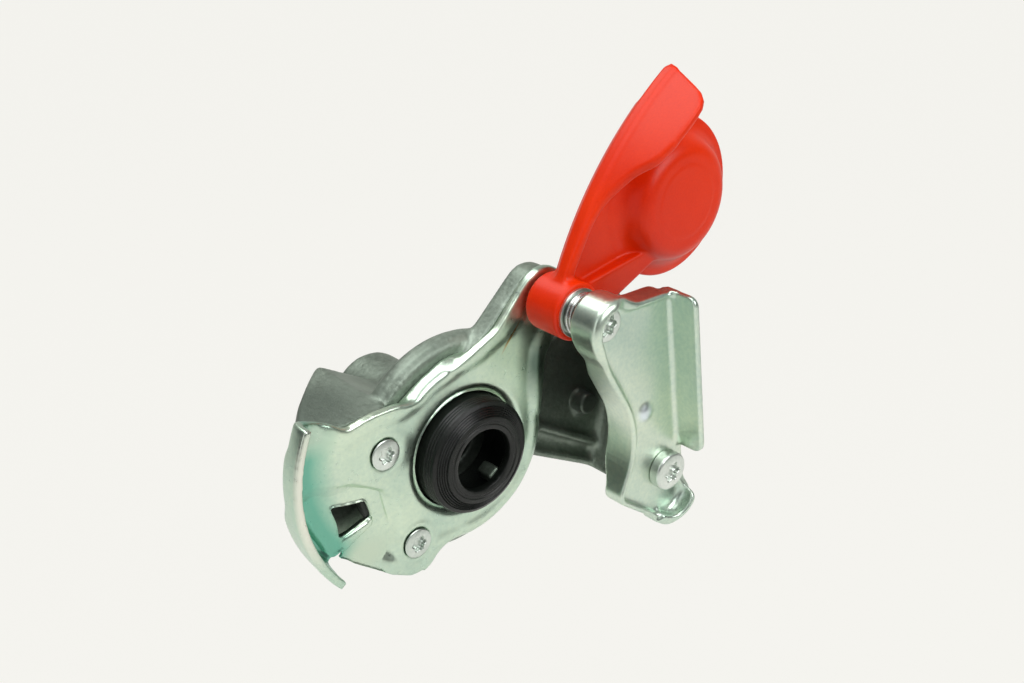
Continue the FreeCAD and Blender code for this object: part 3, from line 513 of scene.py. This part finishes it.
# The grip's front edge: its height at places along the arm, and the cosine of its slope there
GRIP_FRONT = np.array([(-8, 11), (4, 12), (11.5, 13), (20.4, 13.4), (25.2, 14.4), (29, 16.1),
                       (33.4, 18.9), (36.9, 21.3), (39, 23.4), (42.4, 27.4), (44.6, 28.9),
                       (49.8, 30.8), (57.2, 31.7), (61.4, 31.8), (64.6, 31.5), (67.2, 30.2),
                       (69.2, 27.9), (71, 24.2), (75, 15), (77.8, 8), (80, 0)]).T
GRIP_SLOPE = np.array([(26, 1), (34, 0.72), (40, 0.74), (46, 0.95), (62, 0.95), (66, 0.6), (76, 0.42)]).T


def arc_through(a, b, c):
    """Centre and radius of the circle through three points."""
    a, b, c = (np.array(p, float) for p in (a, b, c))
    rows = 2 * np.stack([b - a, c - a])
    centre = np.linalg.solve(rows, [(b @ b) - (a @ a), (c @ c) - (a @ a)])
    return centre, float(np.linalg.norm(a - centre))


GRIP_CENTRE, GRIP_RADIUS = arc_through((3.4, 10.7), (42.6, 34.6), (75, 43.2))


def cap_field(u, v, w):
    """The cap: its plate, strip, rim, dome, web, grip and hub melted together, less the hollow
    under the dome and the bore."""
    from_hinge, far = np.hypot(u, v), np.hypot(u - DISC_AT, v)
    inside_grip = np.hypot(u - GRIP_CENTRE[0], v - GRIP_CENTRE[1]) - GRIP_RADIUS
    # Arm: a pocket's floor beside the grip, and a higher strip along the lower edge
    lower = -13 - v
    left = (-(v + 9) * 14 - 4 * u) / np.hypot(14, 4)
    outline = np.maximum(np.maximum(inside_grip + 3.0, lower), np.maximum(2 - u, u - 60))
    outline = np.maximum(outline, np.where(u < 14, left, -50))
    floor = carve(outline, layer(w, CAP_LOW, CAP_LOW + 2), 0.8)
    strip = carve(np.maximum(outline, u - 50), (v + 0.4 + 0.3 * (u - 17)) * 0.96, 1.5)
    strip = carve(strip, layer(w, CAP_LOW, CAP_LOW + 5.2 + 0.04 * u), 1.2)
    # Rim and dome: a flat disc with a shallow ring, a wide sloping flank, and round edges
    rim = carve(far - RIM, layer(w, CAP_LOW, CAP_LOW + 2.2), 1.2)
    flank = (far - FLANK_FOOT) * np.cos(FLANK_LEAN) + (w - CAP_LOW - 1.2) * np.sin(FLANK_LEAN)
    top = w - DOME_TOP + 0.14 * wave(12.9, 13.5, far)
    dome = carve(carve(flank, top, 3.2), CAP_LOW - w, 0.6)
    # Grip: a wall on its arc that starts above a slanting foot and ends at its front edge
    wall = layer(inside_grip, -GRIP_WALL, 0)
    front = (w - np.interp(u, *GRIP_FRONT)) * np.interp(u, *GRIP_SLOPE)
    foot = (8.7 + inside_grip - w) * 0.707
    grip = carve(carve(carve(wall, front, 1.2), foot, 0.5), 3 - u, 1.0)
    web = carve(layer(inside_grip, -5.4, -0.6), layer(w, CAP_LOW, CAP_LOW + 4.8), 1.0)
    web = carve(web, np.maximum(3 - u, u - 74), 1)
    hub = carve(from_hinge - HUB, layer(w, 1, 16), 1.2)
    shape = melt(melt(melt(floor, rim, 0.8), dome, 3.0), strip, 1.2)
    shape = melt(melt(shape, carve(web, foot, 0.5), 2.0), grip, 4.0)
    shape = melt(shape, hub, 2.2)
    # Hollow under the dome, clear of the seal's lip, and the bore
    hollow = carve(np.maximum(flank + 1.8, far - 25.0), w - DOME_TOP + 1.9, 2.0)
    shape = carve(shape, -hollow, 0.4)
    return carve(shape, 4.2 - from_hinge, 0.5)


def make_cap():
    """The cap as one moulding, from its field, turned to where it stands open."""
    points, faces = net(cap_field, (-12, -31, 0), (89, 47, 37), 0.62)
    u, v, w = points.T
    x = HINGE[0] + u * np.cos(ARM) - v * np.sin(ARM)
    z = HINGE[1] + u * np.sin(ARM) + v * np.cos(ARM)
    piece = to_object("cap_moulding", np.stack([x, z, w], -1), faces, MATERIALS["red_plastic"])
    stand_in(piece, "cap", "cap")


# Seal ring

def make_seal():
    """The seal: its section carried round the axis, with fine grooves round its front edge and
    small steps on its front, as a lip that seals in stages."""
    height = np.linspace(-8.9, 5.2, 36)
    groove = (np.arange(len(height)) % 3 == 2) & (height > 1.2)
    outside = np.stack([20.45 - 0.28 * groove, height], -1)
    radius = np.linspace(18.9, 15.8, 10)
    steps = np.stack([radius, 5.95 + (19.4 - radius) * 0.6 - 0.4 * (np.arange(len(radius)) % 2)], -1)
    lip = [(15.6, 8.2), (15.2, 8.32), (14.2, 8.36), (13.9, 8.1), (13.2, 8.1), (12.9, 8.36), (11.8, 8.34),
           (11.35, 8.1), (11.1, 7.6)]
    inside = [(11.15, 6.4), (11.3, 5.2), (11.9, 4.6), (13.3, 3.6), (13.9, 2.8), (14.0, -8.6),
              (14.2, -8.95), (20.0, -8.95)]
    section = np.concatenate([outside, [(20.1, 5.6), (19.4, 5.95)], steps, lip, inside])
    points, faces = turned_ring(section, 144)
    ring = to_object("seal", points, faces, MATERIALS["rubber"])
    ring.data.set_sharp_from_angle(angle=np.radians(35))
    stand_in(ring, "seal_ring", "head")


def make_seal_lug():
    """The small grey tab in the bore at its lower right: a rounded block along the bore's wall."""
    out = np.array([9.5, -12.4])
    out = out / np.hypot(*out)

    def field(x, z, w):
        along, across = x * out[0] + z * out[1], z * out[0] - x * out[1]
        block = carve(np.abs(along) - 2.4, np.abs(across) - 2.8 - 0.3 * along, 0.8)
        return carve(block, np.abs(w) - 3.6, 0.9)

    points, faces = net(field, (-6, -6, -5), (6, 6, 5), 0.35)
    join_head(to_object("seal_lug", points + np.array([*(out * 12.9), 1.4]), faces, MATERIALS["casting"]))


# Spring

def outward(piece):
    """Turn the faces of a closed mesh outwards."""
    work = bmesh.new()
    work.from_mesh(piece.data)
    bmesh.ops.recalc_face_normals(work, faces=work.faces)
    work.to_mesh(piece.data)
    work.free()


def make_spring():
    """The coil: a circle of wire carried along a helix, which runs flat for its first and last
    0.8 of a turn, between the washer and the bracket."""
    turns, steps, sides = 5.4, 420, 12
    wire, middle, flat = 0.75, 6.9, 0.8
    washer, bracket = 17.0, 29.0
    low, high = washer + wire + 0.02, bracket - wire - 0.05
    turned = turns * np.linspace(0, 1, steps)
    rise = 0.06 * np.clip(turned / flat, 0, 1) + 0.06 * np.clip((turned - turns + flat) / flat, 0, 1)
    rise = rise + 0.88 * np.clip((turned - flat) / (turns - 2 * flat), 0, 1)
    angle = 2 * np.pi * turned + 1.0
    around = np.linspace(0, 2 * np.pi, sides, endpoint=False)
    radius = middle + wire * np.cos(around)[None, :]
    x = radius * np.cos(angle)[:, None] + HINGE[0]
    z = radius * np.sin(angle)[:, None] + HINGE[1]
    w = (low + (high - low) * rise)[:, None] + wire * np.sin(around)[None, :]
    faces = grid_faces(steps, sides, closed=True).tolist()
    faces += [list(range(sides))[::-1], list(range((steps - 1) * sides, steps * sides))]
    coil = to_object("coil", np.stack([x, z, w], -1).reshape(-1, 3), faces, MATERIALS["spring_steel"])
    outward(coil)
    stand_in(coil, "cap_spring", "head")
    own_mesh(coil)


# Small forms of the casting

def make_jaw_boss():
    """The round core boss on the jaw's floor: a drafted stub with a soft edge and foot."""
    def field(x, z, w):
        r = np.hypot(x, z)
        foot = carve(r - 7.2, layer(w, -1, 0), 0.4)
        return melt(carve(carve(r - 4.4 + 0.05 * w, w - 6.5, 1.2), -0.8 - w, 0.2), foot, 2.0)

    points, faces = net(field, (-9, -9, -2), (9, 9, 8), 0.4)
    join_head(to_object("jaw_boss", points + np.array([61.5, -4.5, -11.4]), faces, MATERIALS["casting"]))


def make_port_thread():
    """The port's M22 x 1.5 thread: a sleeve in the bore whose inner radius rises and falls once a
    pitch along a helix, and fades out at both ends."""
    pitch, spin, rows = 1.5, 96, 92
    mouth, end, outer = 1.2, 14.6, 11.3
    angle = np.linspace(0, 2 * np.pi, spin, endpoint=False)[:, None]
    deep = np.linspace(mouth, end, rows)[None, :]
    ridge = 2 * np.abs((deep / pitch - angle / (2 * np.pi)) % 1 - 0.5)
    fade = wave(mouth, 3.0, deep) * (1 - wave(13.4, end, deep))
    radius = 10.75 - fade * (0.25 + 0.6 * np.clip(1.3 * ridge - 0.1, 0, 1))
    radius = np.concatenate([radius, np.full((spin, 2), outer)], 1)
    deep = np.broadcast_to(np.concatenate([deep, [[end, mouth]]], 1), radius.shape)
    points = np.stack([radius * np.cos(angle), radius * np.sin(angle), deep + FACE_Y], -1)
    faces = grid_faces(*radius.shape, around=True, closed=True)[:, ::-1]
    join_head(to_object("port_thread", points.reshape(-1, 3), faces, MATERIALS["casting"]))


# Screws

def screw_head(name, centre, top, radius, crown, shank, length, recess, cone=True):
    """A screw round its own axis: a domed or round head over a countersink or a flat seat, a
    shank, and a six-lobed recess whose radius swings with the cosine of six times the angle."""
    def field(x, z, w):
        r, angle = np.hypot(x, z), np.arctan2(z, x)
        if cone:
            under = (r - radius + np.maximum(-w, 0)) * 0.75
            head = carve(under, w - crown * (1 - (r / radius) ** 2), 0.5)
        else:
            head = carve(carve(r - radius, w - crown + 0.7 * (r / radius) ** 4, 0.8), -w, 0.3)
        body = carve(r - shank, np.maximum(w, -length - w), 0.5)
        drive = carve(r - recess * (0.86 + 0.14 * np.cos(6 * angle)), crown - 2.0 - w, 0.3)
        return carve(melt(head, body, 0.3), -drive, 0.35)

    reach = radius + 1
    points, faces = net(field, (-reach, -reach, -length - 1), (reach, reach, crown + 1), 0.3)
    return to_object(name, points + np.array([*centre, top]), faces, MATERIALS["screw_steel"])


def make_screws():
    """The two plate screws, the stop screw and the hinge screw, each for its node."""
    upper, lower = PLATE_SCREWS
    plate = dict(top=0.0, radius=5.65, crown=0.9, shank=2.9, length=6, recess=3.0)
    stop = dict(top=30.15, radius=7.2, crown=4.6, shank=3.95, length=10, recess=3.8, cone=False)
    hinge = dict(top=30.3, radius=6.15, crown=0.3, shank=3.95, length=40, recess=3.9)
    for name, node, centre, sizes in (
            ("plate_screw_upper", "plate_screws", upper, plate),
            ("plate_screw_lower", "plate_screws", lower, plate),
            ("stop_bolt", "stop_screw", STOP, stop),
            ("hinge_bolt", "hinge_screw", HINGE, hinge)):
        stand_in(screw_head(name, centre, **sizes), node, "head")


# Drawn plate and casting

PAN = 35                    # radius of the plate's pan
EAR = 11                    # radius of the plate's ear round the hinge
HINGE_REACH = 58            # the hinge's distance from the ring's axis
# The ear's half width at distances from the ring's axis towards the hinge
EAR_WIDTH = ((0, 21.7, 40.6, HINGE_REACH), (34, 25.2, 14, EAR))
# The claw's upper and lower edges, (x, z), and the line of the step in an S, (z, x)
CLAW_TOP = np.array([(-62.3, 32.4), (-57.8, 31.1), (-52.9, 28.1), (-48.7, 25.2), (-44.9, 26),
                     (-32.7, 26.7), (-28.7, 27.5), (-10, 32)]).T
CLAW_BOTTOM = np.array([(-60, -24), (-54.4, -20.4), (-49.1, -23.5), (-40, -29.9), (-33.7, -35.1),
                        (-28.8, -38.1), (-22.1, -39.1), (-16.8, -37.3), (-12.4, -34), (-8, -33.4)]).T
STEP_LINE = np.array([(-38, -36), (-30.2, -34.5), (-23.4, -32.3), (-17.5, -31), (-12.2, -30.8),
                      (-6.9, -32.3), (-2.6, -35.5), (2.2, -43.5), (4.7, -47), (8, -60)]).T


def plate_depth(x, z):
    """How far inside the plate's outline a point lies: pan, ear and claw melted together."""
    heading = np.arctan2(HINGE[1], HINGE[0])
    ahead = x * np.cos(heading) + z * np.sin(heading)
    across = np.abs(z * np.cos(heading) - x * np.sin(heading))
    neck = np.maximum((across - np.interp(ahead, *EAR_WIDTH)) * 0.88, -ahead)
    ear = np.where(ahead < HINGE_REACH, neck, np.hypot(ahead - HINGE_REACH, across) - EAR)
    top, bottom = np.interp(x, *CLAW_TOP), np.interp(x, *CLAW_BOTTOM)
    claw = np.maximum(np.maximum(z - top, bottom - z) * 0.9, x)
    return -melt(melt(np.hypot(x, z) - PAN, ear, 6), claw, 6)


def plate_relief(x, z):
    """How far the plate's front stands back: inside a rounded border, rolled in at the ring's hole,
    lower on the claw's side of a step in an S, rolled down at the slot, and with a slow wave."""
    radius = np.hypot(x, z)
    sink = -1.0 * wave(3.6, 8.5, plate_depth(x, z)) * (1 - wave(52, 60, radius) * (x > 0))
    sink = sink - 1.7 * (1 - wave(21.0, 25.0, radius)) ** 1.5
    half_width = np.interp(z, (-18, -5), (2.9, 2.0))
    claw_side = 1 - wave(-1, 1, (x - np.interp(z, *STEP_LINE)) / half_width)
    sink = sink - 2.5 * claw_side * (1 - wave(0, 9, z))
    # The lanced tab rolls down into the slot along the slot's lower edge
    below = (x + 54.1) * 0.078 - (z + 10.6) * 0.997
    along = (x + 54.1) * 0.997 + (z + 10.6) * 0.078
    rolled = 1.2 * (1 - wave(-0.3, 3.0, below)) * (below > -1.5)
    sink = sink - rolled * wave(0.3, 1.5, along) * (1 - wave(10.8, 12, along))
    # The claw's trough, and the unevenness of drawn sheet
    sink = sink - 0.9 * wave(37.5, 44, np.hypot(x - CLAW_AXIS[0], z - CLAW_AXIS[1])) * (x < -20)
    sink = sink + 0.22 * np.sin(x * 0.21 + z * 0.13) * np.sin(z * 0.17 - x * 0.05)
    # The screws keep a flat seat level with their heads
    for (screw_x, screw_z), wide in zip(PLATE_SCREWS, (12.5, 9.0)):
        seat = 1 - wave(6.4, wide, np.hypot(x - screw_x, z - screw_z))
        sink = sink * (1 - seat) - 0.35 * seat
    return sink


def claw_shape(points):
    """The plate as it was drawn: its front with the plate's relief, the claw's tip led on by up
    to 1.9 degrees about the claw's axis, and the slot and the corner below it eased over."""
    x, z, w = points.T
    front = wave(-2.4, -0.4, w) * (1 - wave(2, 4, w))
    u, v = x - CLAW_AXIS[0], z - CLAW_AXIS[1]
    angle = np.degrees(np.arctan2(v, u)) % 360
    on = 1.9 * wave(212, 219, angle) * wave(50, 52, np.hypot(u, v)) * (angle < 230) * np.pi / 180
    slot, corner = bell(x, z, (-48.5, -6.5), 98), bell(x, z, (-52.4, -15.5), 22)
    return np.stack([u * np.cos(on) - v * np.sin(on) + CLAW_AXIS[0] + 2.6 * slot - 0.8 * corner,
                     u * np.sin(on) + v * np.cos(on) + CLAW_AXIS[1] - 1.2 * slot - 3.2 * corner,
                     w + plate_relief(x, z) * front], -1)


def make_metalwork():
    """The casting and the plate with the soft edges of their making."""
    softened("casting_body", "body_casting", 0.95, 4, MATERIALS["casting"])

    def corners(x, z, w):
        upper, lower = np.hypot(x + 17, z - 30), np.hypot(x + 8, z + 33)
        return np.maximum(1 - wave(4, 11, upper), 1 - wave(4, 10, lower))

    softened("drawn_plate", "claw_plate", 0.62, 6, MATERIALS["plate_zinc"], extra=(40, corners),
             shape=claw_shape)


# Bracket

def outline_distance(x, z, line):
    """Distance from a closed outline of straight runs, negative inside: the nearest point of
    each run, and the parity of the runs crossed to the right."""
    nearest, inside = np.inf, False
    for (ax, az), (bx, bz) in zip(line, np.roll(line, -1, 0)):
        ex, ez, px, pz = bx - ax, bz - az, x - ax, z - az
        t = np.clip((px * ex + pz * ez) / (ex * ex + ez * ez), 0, 1)
        nearest = np.minimum(nearest, (px - t * ex) ** 2 + (pz - t * ez) ** 2)
        if ez:
            crosses = ((az > z) != (bz > z)) & (px < ex * pz / ez)
            inside = inside ^ crosses
    return np.where(inside, -1, 1) * np.sqrt(nearest)


def rounded_line(corners, steps):
    """A closed outline through (x, z, radius) corners, each turned by an arc."""
    line = []
    for i, (x, z, radius) in enumerate(corners):
        here = np.array([x, z], float)
        before = np.array(corners[i - 1][:2]) - here
        after = np.array(corners[(i + 1) % len(corners)][:2]) - here
        before, after = before / np.linalg.norm(before), after / np.linalg.norm(after)
        half = np.arccos(np.clip(before @ after, -1, 1)) / 2
        centre = here + (before + after) / np.linalg.norm(before + after) * radius / np.sin(half)
        first = here + before * radius / np.tan(half) - centre
        last = here + after * radius / np.tan(half) - centre
        start = np.arctan2(first[1], first[0])
        turn = np.arctan2(first[0] * last[1] - first[1] * last[0], first @ last)
        angle = start + turn * np.linspace(0, 1, steps)
        line.append(centre + radius * np.stack([np.cos(angle), np.sin(angle)], -1))
    return np.concatenate(line)


SHEET = 1.7                 # thickness of the bracket's sheet
BRACKET_TOP = 51.9          # its upper edge
BRACKET_BACK = 27.6         # how far the rear of its floor is in front of the plate's face
FENCE = 2.3                 # thickness of the fence on its right
FENCE_FRONT = 41.8          # how far the fence reaches in front of the plate's face
FENCE_FOOT = -9.8           # lower end of the fence
LIP_FRONT = 36.6            # how far the lip at its lower corner reaches
DIMPLE = (53.6, 8.6)        # middle of its dimple
# The bracket's outline, open on the right, where a leaning edge ends it
BRACKET_LINE = rounded_line([(40.9, -22.5, 4.5), (75, -46.7, 0.1), (100, -46.7, 1), (100, BRACKET_TOP, 1),
                             (28.2, BRACKET_TOP, 7), (28.2, 38.2, 9), (50.2, 1.45, 31)], 14)


def bracket_field(x, z, w):
    """The bracket: a shallow tray whose left, top and lower walls run on behind it as a flange and
    wrap the hinge, with a tall fence on the right and a lip at the lower corner. It is an outer
    block with rounded edges, less a pocket in front and a room behind."""
    if x.ndim == 3:
        # The outline is the same at every height, so one layer of the grid is enough
        line = outline_distance(x[..., :1], z[..., :1], BRACKET_LINE)
    else:
        line = outline_distance(x, z, BRACKET_LINE)
    from_hinge = np.hypot(x - HINGE[0], z - HINGE[1])
    # Outline: with the hub's rounded cup on the left, the fence, tongue and corner on the right
    cup = np.clip((w - 31.5) / 3.5, 0, 1)
    around = melt(line, from_hinge - 9.9 + 3.0 * (1 - np.sqrt(1 - cup ** 2)), 6)
    right = (x - 63.9 - (58 - z) * 0.142) * 0.99
    tongue = carve(0.772 * x + 0.634 * z - 41.6, x - 79.0, 5)
    corner = 0.74 * x - 0.672 * z - 78.3
    edge = carve(around, carve(melt(right, tongue, 3), corner, 3), 7)
    # Rear: the flange is shorter round the hinge, near the top and along the lower left
    radius, angle = np.hypot(x, z), np.degrees(np.arctan2(z, x))
    near_top = np.maximum(1 - wave(11, 24, from_hinge), wave(38, 47, z))
    rear = 19 + 3.7 * near_top + 4.6 * wave(10, 26, -angle) * (1 - wave(50, 62, radius))
    # Front: higher round the hub; the pocket's floor is a little uneven
    front = 32 + 3 * (1 - wave(6, 18, from_hinge)) * (1 - wave(33, 40, x))
    level = 30.1 + 0.2 * np.sin(x * 0.25) * np.sin(z * 0.16)
    shape = carve(carve(edge, w - front, 1.2), rear - w, 0.6)
    pocket = carve(melt(line + SHEET, from_hinge - 6.4, 5), level - w, 2.6)
    room = carve(around + SHEET, w - BRACKET_BACK, 2.0)
    shape = carve(carve(shape, -pocket, 0.6), -room, 0.5)
    # Fence
    wall = np.maximum(layer(right, -FENCE, 0), BRACKET_BACK + 0.2 - w)
    upper_end = carve(z - BRACKET_TOP, w - FENCE_FRONT, 4)
    lower_end = carve(w - FENCE_FRONT, FENCE_FOOT - z, 5)
    fence = carve(wall, carve(upper_end, lower_end, 0.1), 0.8)
    # Lip along the lower corner, which falls away to its left end
    along = 0.672 * x + 0.74 * z
    lip = np.maximum(70 - 0.74 * x + 0.672 * z, 28 - w)
    lip = np.maximum(layer(np.maximum(corner, edge), -2, 0), lip)
    fall = 0.10 * np.maximum(24 - along, 0) ** 1.5
    lip = carve(lip, carve(along - 29.7, w - LIP_FRONT + fall, 4), 1.0)
    shape = melt(melt(shape, fence, 2.6), lip, 4)
    # Dimple, countersink and the stop screw's hole
    from_dimple = np.hypot(x - DIMPLE[0], z - DIMPLE[1])
    dimple = np.maximum(np.hypot(from_dimple, w - 25.9) - 5.6, 28.0 - w)
    shape = melt(shape, dimple, 0.8)
    countersink = np.maximum(from_hinge - 4.1, from_hinge - 6.3 + (30.3 - w))
    return carve(carve(shape, -countersink, 0.4), 4.05 - np.hypot(x - STOP[0], z - STOP[1]), 0.3)


def make_bracket():
    """The drawn bracket, from its field."""
    points, faces = net(bracket_field, (21, -46, 17.5), (82, 58.5, 43.5), 0.58)
    piece = to_object("drawn_bracket", points, faces, MATERIALS["zinc"])
    stand_in(piece, "guide_bracket", "head")


def dress_nodes():
    """Give every CAD node the material of its slot."""
    for name, node in nodes.items():
        node.data.materials.clear()
        node.data.materials.append(MATERIALS[SLOTS[name]])


# Room

def make_stage():
    """A pale sweep: a floor that turns up into a backdrop, one profile carried sideways. The
    camera sees it evenly pale, and metal sees it dimmer."""
    turn = np.radians(np.linspace(0, 90, 24))
    back, floor, radius = 1.6, -0.17, 0.8
    run = np.concatenate(([-2.5], back - radius + radius * np.sin(turn), [back]))
    rise = np.concatenate(([0], radius - radius * np.cos(turn), [4.0])) + floor
    a, b = np.meshgrid(np.linspace(-4, 4, 3), run, indexing="ij")
    heading = np.radians(41)
    x = a * np.cos(heading) + b * np.sin(heading)
    y = -a * np.sin(heading) + b * np.cos(heading)
    points = np.stack([x, y, np.broadcast_to(rise, a.shape)], axis=-1).reshape(-1, 3)
    mesh = bpy.data.meshes.new("sweep")
    mesh.from_pydata(points.tolist(), [], grid_faces(*a.shape).tolist())
    mesh.shade_smooth()
    sweep = bpy.data.objects.new("sweep", mesh)
    bpy.context.scene.collection.objects.link(sweep)
    material = bpy.data.materials.new("sweep")
    material.use_nodes = True
    s = Shader(material.node_tree)
    principled = material.node_tree.nodes["Principled BSDF"]
    principled.inputs["Base Color"].default_value = ROOM
    principled.inputs["Roughness"].default_value = 0.9
    glow = s.add("ShaderNodeEmission")
    glow.inputs["Color"].default_value = ROOM
    path = s.add("ShaderNodeLightPath").outputs
    mirrored = s.math("MAXIMUM", path["Is Glossy Ray"], path["Is Transmission Ray"])
    seen = s.math("MULTIPLY", path["Is Camera Ray"], ROOM_LEVEL)
    both = s.add("ShaderNodeMixShader")
    s.link(s.math("MAXIMUM", seen, s.math("MULTIPLY", mirrored, SWEEP_MIRRORED)), both.inputs[0])
    s.link(principled.outputs[0], both.inputs[1])
    s.link(glow.outputs[0], both.inputs[2])
    s.link(both.outputs[0], material.node_tree.nodes["Material Output"].inputs["Surface"])
    mesh.materials.append(material)


def make_world():
    """A pale room whose brightness falls towards the floor, plain to the camera."""
    world = bpy.data.worlds.new("room")
    bpy.context.scene.world = world
    world.use_nodes = True
    s = Shader(world.node_tree)
    background = world.node_tree.nodes["Background"]
    direction = s.axes(s.add("ShaderNodeTexCoord").outputs["Generated"])
    height = s.math("MULTIPLY_ADD", direction["Z"], 0.5, 0.5)
    level = s.ramp(height, [(0.0, 0.1), (0.5, 0.14), (0.68, 0.35), (0.85, 1.0)])
    seen = s.add("ShaderNodeLightPath").outputs["Is Camera Ray"]
    s.link(s.mix(seen, level, ROOM), background.inputs["Color"])
    strength = s.math("MULTIPLY_ADD", seen, ROOM_LEVEL - ROOM_LIGHT, ROOM_LIGHT)
    s.link(strength, background.inputs["Strength"])


make_camera()
make_world()
make_stage()
area_light("front", (0.15, -0.9, 0.55), (0, -0.06, 0.02), (0.7, 0.5), 4.9)
area_light("overhead", (-0.15, -0.1, 0.85), (0, -0.06, 0.02), (0.6, 0.6), 4.2)
area_light("behind", (-0.02, 0.52, 0.78), (0.05, -0.07, 0.08), (0.55, 0.4), 2.0)
area_light("left", (-0.85, -0.35, 0.3), (0, -0.06, 0.02), (0.3, 0.8), 0.9)
mark_metals()
dress_nodes()
make_cap()
make_seal()
make_seal_lug()
make_spring()
make_screws()
make_jaw_boss()
make_port_thread()
make_metalwork()
make_bracket()
bpy.context.scene.view_settings.view_transform = "Standard"
